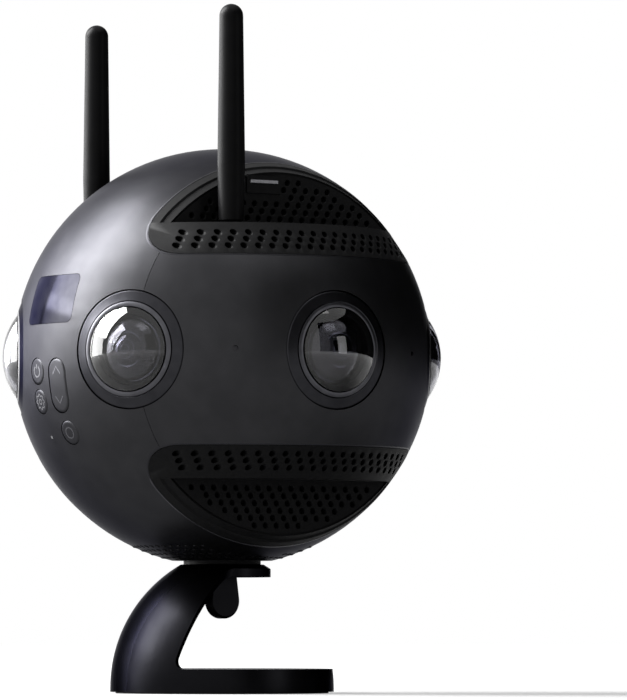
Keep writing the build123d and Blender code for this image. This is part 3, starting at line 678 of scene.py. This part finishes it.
# %% Lens glass
# The grey base colour is painted shade: it darkens all that is seen through the glass.
lens_glass, tree, main, place = new_material(
    "polished_optical_glass", "#aaaab2", 0.0, 0.02, IOR=1.52, Transmission_Weight=1.0
)
dust = add_node(tree, "ShaderNodeTexNoise", {"Vector": place, "Scale": per_metre(1.2), "Detail": 6.0})
haze = add_node(tree, "ShaderNodeMapRange", {"Value": dust.outputs["Fac"], "From Min": 0.62, "From Max": 0.8,
                                             "To Min": 0.0, "To Max": 0.03})
tree.links.new(haze.outputs["Result"], main.inputs["Roughness"])

edge_ink = plain_finish("black_edge_ink", "#0b0b0c", 0.0, 0.7, (0.8, "#09090a", "#0e0e0f"), Specular_IOR_Level=0.2)

glass_radius, glass_curve, glass_tip = 13.9, 23.0, 75.2
glass_hollow, glass_back, hollow_top = 10.8, 67.525, 72.8


def bulge_curve(rim, rim_height, top):
    """Radius of curvature of a round bulge."""
    rise = top - rim_height
    return (rim ** 2 + rise ** 2) / (2 * rise)


def bulge(rim, rim_height, top, steps):
    """Points of a round bulge, from its middle out to its rim."""
    curve = bulge_curve(rim, rim_height, top)
    half = asin(rim / curve)
    return [
        (curve * sin(half * step / steps), top - curve * (1 - cos(half * step / steps))) for step in range(steps + 1)
    ]


glass_edge = glass_tip - glass_curve + sqrt(glass_curve ** 2 - glass_radius ** 2)
outside = bulge(glass_radius, glass_edge, glass_tip, 28)
hollow = list(reversed(bulge(glass_hollow, glass_back, hollow_top, 24)))
inked = (len(outside) - 1, len(outside))
for number, azimuth in enumerate(lens_azimuths, 1):
    bm = bmesh.new()
    lathe(bm, outside + [(glass_radius, glass_back)] + hollow, aim(azimuth), closed=False, second=inked)
    finish_piece(f"dome_glass_{number}", bm, lens_glass, stands_for=[f"lens_dome_{number}"],
                 second=edge_ink)
print("a dome's edge is %.2f mm from the centre of the ball" % glass_edge)

# %% [markdown]
# ## The glasses inside
# Under the dome sits a second, wider glass in a thin seat ring, and in its middle stands a smaller
# one, the eye. Their coating lets hardly any light back out of the black barrel, so what one sees is
# a dark, polished surface with a small copy of the softbox on each step. One lathe profile draws the
# steps as a dark glossy solid, because clear glass inside clear glass would only add grain to the
# picture. It reaches up into the dome's hollow, higher than the model's inner lenses, for which it
# stands. Its runs for the seat, the groove and the two fine rings take a turned metal.

# %% Inner glasses
inner_glass = plain_finish("coated_inner_glass", "#09090b", 0.0, 0.02, (4.0, "#08080a", "#0d0c12"), IOR=1.65)
fine_ring = plain_finish("turned_ring_grey", "#b4b4bc", 1.0, 0.25, (1.0, "#acacb4", "#bcbcc4"))
plain_finish("blackened_brass_barrel", "#1b1b1d", 1.0, 0.3, (1.5, "#19191b", "#202023"), (0.3, 0.003),
             ["lens_barrels"])

eye_radius, eye_edge, eye_top = 5.4, 69.95, 71.9
second_radius, second_curve, second_centre = 10.1, 13.24, 59.11
eye_foot, well_radius, well_floor, well_top = 5.42, 5.9, 69.8, 70.85
seat_inner, seat_height, seat_radius = second_radius + 0.02, 66.9, 10.4
barrel_radius, barrel_top, inner_foot = 10.65, 66.4, 61.055
fine_rings = (1.4, 3.0)
eye_steps = [0, 0.3, 0.6, 0.9, 1.2, 1.4, 1.6, 1.9, 2.2, 2.5, 2.8, 3.0, 3.2, 3.6, 4.0, 4.4, 4.8, 5.1, 5.3, 5.4]
second_steps = [6.0, 6.3, 6.7, 7.1, 7.5, 7.9, 8.3, 8.7, 9.1, 9.5, 9.8, 10.0, 10.1]

eye_curve = bulge_curve(eye_radius, eye_edge, eye_top)
eye_run = [(radius, eye_top - eye_curve + sqrt(eye_curve ** 2 - radius ** 2)) for radius in eye_steps]
second_run = [(radius, second_centre + sqrt(second_curve ** 2 - radius ** 2)) for radius in second_steps]
well = [(eye_foot, well_floor), (well_radius, well_floor), (well_radius + 0.02, well_top)]
seat = [
    (seat_inner, seat_height), (seat_radius, seat_height), (barrel_radius, barrel_top),
    (barrel_radius, inner_foot), (0, inner_foot),
]
inner_profile = eye_run + well + second_run + seat
metal_from = (*fine_rings, eye_foot, seat_inner)
ring_runs = [index for index, (radius, _) in enumerate(inner_profile[:-1]) if radius in metal_from]
for number, azimuth in enumerate(lens_azimuths, 1):
    bm = bmesh.new()
    lathe(bm, inner_profile, aim(azimuth), closed=False, second=ring_runs)
    finish_piece(f"inner_glass_{number}", bm, inner_glass, stands_for=["inner_lenses"], sharp=24,
                 second=fine_ring)
print("the eye is %.1f mm below the tip of the dome" % (glass_tip - eye_top))

# %% [markdown]
# ## Control side: keys, window and lamp
# The keys are moulded in plastic and painted to look like the ball, each in a hairline gap. A cap
# follows the ball in its middle and is rounded over at its edge, where it catches the light. The
# caps are drawn as grids, because a grid has no pole in the middle where shading would gather. The
# marks stand 0.03 mm above the caps and are a little brighter, as a laser leaves them in paint.
# The window is smoked acrylic over a dark display, left bare. It mirrors more than plain acrylic,
# so its shader is a dark polished metal.

# %% Keys and window
key_plastic, tree, main, place = new_material("painted_key_plastic", "#333335", 1.0, 0.4)
main.inputs["Specular Tint"].default_value = linear("#b4b4b8")
mottle(tree, main, place, 5.0, "#313133", "#353537")
grain(tree, main, place, 0.35, 0.005)


key_proud, key_round_edge, key_edge_fall, key_deep = 0.1, 0.9, 0.55, 1.6


def key_cap(name, node, y, z, width, height, body, across=28, along=44):
    """A domed cap, rounded over its edge: a slot of a width and height, or a disc where they are equal."""
    place = aim(*face_angles(y, z))
    bm = bmesh.new()
    core = (height - width) / 2
    grid = []
    for row in range(along + 1):
        up = height / 2 * sin(pi * (row / along - 0.5))
        over = max(0.0, abs(up) - core)
        half = sqrt(max(0.0, (width / 2) ** 2 - over ** 2))
        line = []
        for step in range(across + 1):
            x = half * sin(pi * (step / across - 0.5))
            inside = max(0.0, width / 2 - sqrt(x * x + over * over))
            share = min(1.0, inside / key_round_edge)
            lift = key_proud - key_edge_fall * (1 - sqrt(1 - (1 - share) ** 2))
            line.append(bm.verts.new(place @ Vector((x, up, sqrt(ball_radius ** 2 - x * x - up * up) + lift))))
        grid.append(line)
    bridge(bm, grid)
    bmesh.ops.remove_doubles(bm, verts=bm.verts, dist=double_distance)
    rim = [edge for edge in bm.edges if edge.is_boundary]
    skirt = bmesh.ops.extrude_edge_only(bm, edges=rim)["geom"]
    inward = (ball_centre - place @ Vector((0, 0, ball_radius))).normalized() * key_deep * mm
    bmesh.ops.translate(bm, vec=inward, verts=[item for item in skirt if isinstance(item, bmesh.types.BMVert)])
    bmesh.ops.holes_fill(bm, edges=[item for item in skirt if isinstance(item, bmesh.types.BMEdge)])
    return finish_piece(name, bm, key_plastic, body=body, stands_for=[node])


key_cap("power_cap", "power_button", 5.5, -6.2, 9.0, 9.0, "power_key")
key_cap("settings_cap", "settings_button", 5.8, -16.4, 8.5, 8.5, "settings_key")
key_cap("confirm_cap", "confirm_button", -7.0, -27.1, 8.6, 8.6, "confirm_key")
key_cap("rocker_cap", "up_down_rocker", -6.4, -11.4, 9.2, 18.4, "rocker_key")

smoked_acrylic, tree, main, place = new_material("smoked_acrylic", "#1c1c1f", 1.0, 0.12)
main.inputs["Specular Tint"].default_value = linear("#b4b4b8")
mottle(tree, main, place, 6.0, "#1a1a1d", "#1f1f22")
uneven_gloss(tree, main, place, 8.0, 0.1, 0.15)
dress(smoked_acrylic, "display_window")

plain_finish("clear_light_guide", "#4a4a4c", 0.0, 0.5, (0.6, "#444446", "#525254"), pieces=["status_lamp"],
             Specular_IOR_Level=0.1)
mark_paint = plain_finish("laser_mark_grey", "#48484c", 1.0, 0.42, (0.8, "#444448", "#4e4e52"))


mark_width, mark_proud, mark_deep = 0.42, 0.13, 0.1


def mark_strip(bm, points, place, closed):
    """A thin raised line through 2-D points on the outside of the ball."""
    count = len(points)
    rows = []
    for index in range(count):
        before = points[(index - 1) % count] if closed or index else points[0]
        after = points[(index + 1) % count] if closed or index < count - 1 else points[-1]
        here = points[index]
        along = Vector((after[0] - before[0], after[1] - before[1])).normalized()
        side = Vector((-along.y, along.x)) * mark_width / 2
        cross = []
        for way, lift in ((1, -mark_deep), (1, mark_proud), (-1, mark_proud), (-1, -mark_deep)):
            x, y = here[0] + side.x * way, here[1] + side.y * way
            cross.append(bm.verts.new(place @ Vector((x, y, sqrt(ball_radius ** 2 - x * x - y * y) + lift))))
        rows.append(cross)
    bridge(bm, rows, around=True, ring=closed)
    if not closed:
        bm.faces.new(rows[0])
        bm.faces.new(list(reversed(rows[-1])))


def arc_points(radius, start, end, steps=28):
    turns = [radians(start + (end - start) * step / steps) for step in range(steps + 1)]
    return [(radius * cos(turn), radius * sin(turn)) for turn in turns]


def wheel_points(radius=2.35, tooth=0.35, teeth=8, steps=64):
    """Outline of a toothed wheel with soft teeth."""
    turns = [2 * pi * step / steps for step in range(steps)]
    return [((radius + tooth * cos(teeth * turn)) * cos(turn), (radius + tooth * cos(teeth * turn)) * sin(turn))
            for turn in turns]


marks = {
    "power": ((5.5, -6.2), "power_key", [(arc_points(1.85, 122, 418), False), ([(0, 0.9), (0, 2.5)], False)]),
    "settings": ((5.8, -16.4), "settings_key", [(wheel_points(), True), (arc_points(0.85, 0, 345, 18), True)]),
    "confirm": ((-7.0, -27.1), "confirm_key", [(arc_points(1.9, 0, 350, 34), True)]),
    "up_down": ((-6.4, -11.4), "rocker_key", [
        ([(-2.0, 4.0), (0, 6.5), (2.0, 4.0)], False), ([(-2.0, -3.5), (0, -6.0), (2.0, -3.5)], False),
    ]),
}
for name, ((y, z), body, lines) in marks.items():
    bm = bmesh.new()
    for points, closed in lines:
        mark_strip(bm, points, aim(*face_angles(y, z)), closed)
    finish_piece(name + "_mark", bm, mark_paint, body=body)
print("marks on", ", ".join(marks))

# %% [markdown]
# ## Antennas, stand and small parts
# The antennas are a moulded sleeve with a low sheen. The stand is die cast, sanded and painted with
# a smooth satin black, so it shows longer and clearer highlights than the ball. The foot ring is
# rubber, the screw is steel and the paddle is painted like the stand. The screw is a plain rod in
# the model, and a wave texture marks its turns: the texture draws 20 / (2 pi) bands in each unit.

# %% Antenna and stand finishes
sleeve, tree, main, place = new_material("moulded_antenna_sleeve", "#0a0a0b", 0.0, 0.44, Specular_IOR_Level=0.05)
mottle(tree, main, place, 5.0, "#09090a", "#0c0c0d")
uneven_gloss(tree, main, place, 4.0, 0.38, 0.47)
grain(tree, main, place, 0.4, 0.006)
dress(sleeve, "front_antenna", "rear_antenna")

satin_paint, tree, main, place = new_material("satin_paint_on_casting", "#151517", 1.0, 0.34)
main.inputs["Specular Tint"].default_value = linear("#9a9a9e")
mottle(tree, main, place, 12.0, "#141416", "#171719")
uneven_gloss(tree, main, place, 7.0, 0.31, 0.37)
grain(tree, main, place, 0.6, 0.006)
dress(satin_paint, "stand", "clamp_paddle")

thread_pitch, thread_depth, bands_per_unit = 1.5875, 0.4, 20 / (2 * pi)
screw_steel, tree, main, place = new_material("plain_screw_steel", "#8a8a8c", 1.0, 0.32)
mottle(tree, main, place, 1.2, "#808082", "#98989a")
thread = add_node(tree, "ShaderNodeTexWave", {"Vector": place, "Scale": per_metre(thread_pitch * bands_per_unit)},
                  wave_type="BANDS", bands_direction="Z")
bump = add_node(tree, "ShaderNodeBump", {"Height": thread.outputs["Fac"], "Distance": thread_depth * mm})
tree.links.new(bump.outputs["Normal"], main.inputs["Normal"])
dress(screw_steel, "clamp_screw", "clamp_washer", "tripod_bush")

plain_finish("pad_rubber", "#1a1a1a", 0.0, 0.8, (1.0, "#171717", "#1f1f1f"), (0.5, 0.03), ["stand_pad", "lens_seals"])
plain_finish("pressed_sheet_steel", "#4a4a4d", 1.0, 0.4, (2.0, "#444447", "#535356"), (0.3, 0.004),
             ["key_switches", "microphone_meshes"])
plain_finish("card_plastic", "#9d9da2", 0.0, 0.45, (0.8, "#94949a", "#a8a8ad"), pieces=["memory_card"])
plain_finish("turned_brass", "#b08d4a", 1.0, 0.3, (1.0, "#a58344", "#ba9650"), pieces=["antenna_jacks"])
print("small finishes done")

# %% [markdown]
# ## Inside the ball
# The inner pieces are hardly ever seen, and then only when the battery is out, but each still has
# its own finish: milled and black anodised alloy, green board, black plastic and a dark display.

# %% Inner finishes
plain_finish("black_anodised_frame", "#303032", 1.0, 0.42, (3.0, "#2b2b2d", "#343436"), (0.5, 0.01),
             ["chassis", "lower_deck", "heat_sink"])
plain_finish("solder_mask_green", "#1d4a33", 0.0, 0.35, (1.5, "#173e2b", "#23573d"),
             pieces=["main_board", "control_board", "sensor_boards"])
plain_finish("moulded_plastic_black", "#222225", 0.0, 0.5, (3.0, "#1f1f22", "#27272a"), (0.5, 0.015),
             ["battery_pack", "battery_bay", "fan_housing", "fan_rotor"])
plain_finish("display_panel_dark", "#0c0c10", 0.0, 0.2, (4.0, "#0a0a0e", "#101015"), pieces=["display_module"])
print("materials made so far:", len(bpy.data.materials))

# %% [markdown]
# ## The photograph's camera
# The picture was taken with a long lens from about two metres, almost level with the stand. The
# ball sits left of the middle of the frame, so the camera aims a little to its right and a little
# upward, with no lens shift. Directions follow from where the ball's middle falls in the frame.

# %% Camera
frame_width, frame_height = 627, 700
ball_px = (222.2, 358.0)
focal_px = 5838.0
sensor_mm = 36.0
view_azimuth = -33.5
distance = 2000 * mm
below_ball = 94 * mm
level = sqrt(distance ** 2 - below_ball ** 2)
eye = ball_centre + Vector((sin(radians(view_azimuth)) * level, -cos(radians(view_azimuth)) * level, -below_ball))
to_ball = (ball_centre - eye).normalized()
side_turn = atan2(frame_width / 2 - ball_px[0], focal_px)
rise = asin(to_ball.z) + atan2(ball_px[1] - frame_height / 2, focal_px)
heading = atan2(to_ball.y, to_ball.x) - side_turn
look = Vector((cos(heading) * cos(rise), sin(heading) * cos(rise), sin(rise)))
camera_data = bpy.data.cameras.new("camera")
camera_data.sensor_fit = "VERTICAL"
camera_data.sensor_height = sensor_mm
camera_data.lens = focal_px / frame_height * sensor_mm
camera = bpy.data.objects.new("camera", camera_data)
camera.location = eye
camera.rotation_euler = look.to_track_quat("-Z", "Y").to_euler()
camera_data.clip_end = 20
bpy.context.scene.collection.objects.link(camera)
bpy.context.scene.camera = camera
print("camera height %.1f mm, lens %.0f mm" % (eye.z / mm, camera_data.lens))

# %% [markdown]
# ## A small white studio
# A large softbox stands high on the left and a lower one carries it on downward. One behind on the
# left draws the rim, and weak ones above and on the right keep the dark side readable. Round the
# right side and behind stands a dark card that the camera can't see. It takes the white world's
# place in the reflections, so the ball's right side stays dark. The floor keeps the object's shadow.
# It glows, as white as the world some way off, and less near the foot: the weaker glow there paints
# a pool of shade round the foot, both where the camera sees the floor and in the ball's reflection of it.

# %% Floor and glow
white = (1, 1, 1, 1)


def make_floor():
    bm = bmesh.new()
    bmesh.ops.create_grid(bm, x_segments=24, y_segments=24, size=6.0)
    mesh = bpy.data.meshes.new("floor")
    bm.to_mesh(mesh)
    bm.free()
    floor = bpy.data.objects.new("floor", mesh)
    bpy.context.scene.collection.objects.link(floor)
    return floor


floor = make_floor()
paper, tree, main, place = new_material("studio_paper", "#7c7c7c", 0.0, 0.9, Specular_IOR_Level=0.0)
mottle(tree, main, place, 300.0, "#7a7a7a", "#7e7e7e")
main.inputs["Emission Color"].default_value = white
floor.data.materials.append(paper)


def calculate(tree, operation, *values, clamp=False):
    return add_node(tree, "ShaderNodeMath", dict(enumerate(values)), operation=operation, use_clamp=clamp).outputs[0]


def glow(tree, distance, start, end, least):
    """Strength that rises from its least value to 1 between two distances. The lower strength near the object is
    painted shade.
    """
    rise = add_node(tree, "ShaderNodeMapRange", {"Value": distance, "From Min": start, "From Max": end,
                                                 "To Min": least, "To Max": 1.0})
    return rise.outputs["Result"]


rays = add_node(tree, "ShaderNodeLightPath").outputs
away = add_node(tree, "ShaderNodeVectorMath", {0: place}, operation="LENGTH").outputs["Value"]
# The glow is weaker near the object: painted shade round the foot, for the camera and in the ball's reflections.
mirrored = calculate(tree, "ADD", rays["Is Glossy Ray"], rays["Is Transmission Ray"], clamp=True)
seen = calculate(tree, "MULTIPLY", rays["Is Camera Ray"], glow(tree, away, 0.2, 1.2, 0.45))
strength = calculate(tree, "MULTIPLY_ADD", mirrored, glow(tree, away, 0.15, 1.6, 0.05), seen)
tree.links.new(strength, main.inputs["Emission Strength"])
print("floor made, with", len(tree.nodes), "nodes in its paper")

# %% [markdown]
# ## The white world
# A light path node tells the shader which ray is asking. Rays from the camera, and those that a
# polished surface or a glass sends on, get the full white. All others, which are the ones that
# light the object, get less than half of it, so that the world doesn't wash the dark ball out.

# %% World
world = bpy.data.worlds.new("studio")
bpy.context.scene.world = world
world.use_nodes = True
tree = world.node_tree
background = tree.nodes["Background"]
background.inputs["Color"].default_value = white
rays = add_node(tree, "ShaderNodeLightPath").outputs
seen = calculate(tree, "ADD", rays["Is Camera Ray"], rays["Is Glossy Ray"])
seen = calculate(tree, "ADD", seen, rays["Is Transmission Ray"], clamp=True)
strength = add_node(tree, "ShaderNodeMapRange", {"Value": seen, "To Min": 0.45, "To Max": 1.0})
tree.links.new(strength.outputs["Result"], background.inputs["Strength"])
print("world made")

# %% [markdown]
# ## Lamps and card
# Lamps are placed as a photographer would, to the right of the ball, above it and toward the camera,
# in metres, with negative numbers for left and for behind. Power is in watts and spreads over the
# lamp's face, so a larger box needs more of it to look as bright in a reflection.

# %% Lamps and card
ahead = Vector((look.x, look.y, 0)).normalized()
across = ahead.cross(Vector((0, 0, 1)))


def softbox(name, right, up, toward, size, power):
    """An area lamp placed as the camera sees it, aimed at the ball."""
    spot = ball_centre + across * right + Vector((0, 0, up)) - ahead * toward
    lamp = bpy.data.lights.new(name, "AREA")
    lamp.shape = "RECTANGLE"
    lamp.size, lamp.size_y = size
    lamp.energy = power
    holder = bpy.data.objects.new(name, lamp)
    holder.location = spot
    holder.rotation_euler = (ball_centre - spot).to_track_quat("-Z", "Y").to_euler()
    bpy.context.scene.collection.objects.link(holder)


softbox("left_softbox", -1.55, 1.2, -0.32, (1.25, 1.56), 205)
softbox("low_softbox", -1.93, 0.18, -0.5, (1.0, 1.1), 42)
softbox("rim_softbox", -1.45, 0.4, -1.35, (0.8, 1.3), 24)
softbox("top_softbox", 0.3, 1.6, 0.4, (0.8, 0.8), 5)
softbox("right_softbox", 1.5, 0.2, 0.9, (0.5, 0.9), 3)


def dark_card(name, start, end, radius, foot, top, steps=24):
    """A dark card bent round the object, from one direction to another as the camera sees them."""
    bm = bmesh.new()
    rows = []
    for step in range(steps + 1):
        turn = radians(start + (end - start) * step / steps)
        spot = across * (radius * sin(turn)) - ahead * (radius * cos(turn))
        rows.append([bm.verts.new((spot.x, spot.y, height)) for height in (foot, top)])
    bridge(bm, rows)
    mesh = bpy.data.meshes.new(name)
    bm.to_mesh(mesh)
    bm.free()
    mesh.materials.append(card_black)
    card = bpy.data.objects.new(name, mesh)
    card.visible_camera = False
    bpy.context.scene.collection.objects.link(card)


card_black = plain_finish("black_felt", "#0c0c0c", 0.0, 0.95, (40.0, "#0a0a0a", "#0e0e0e"), Specular_IOR_Level=0.0)
dark_card("right_card", 20, 165, 3.0, 0.02, 3.2)
bpy.context.scene.view_settings.view_transform = "Standard"
print("lamps:", ", ".join(lamp.name for lamp in bpy.data.lights))
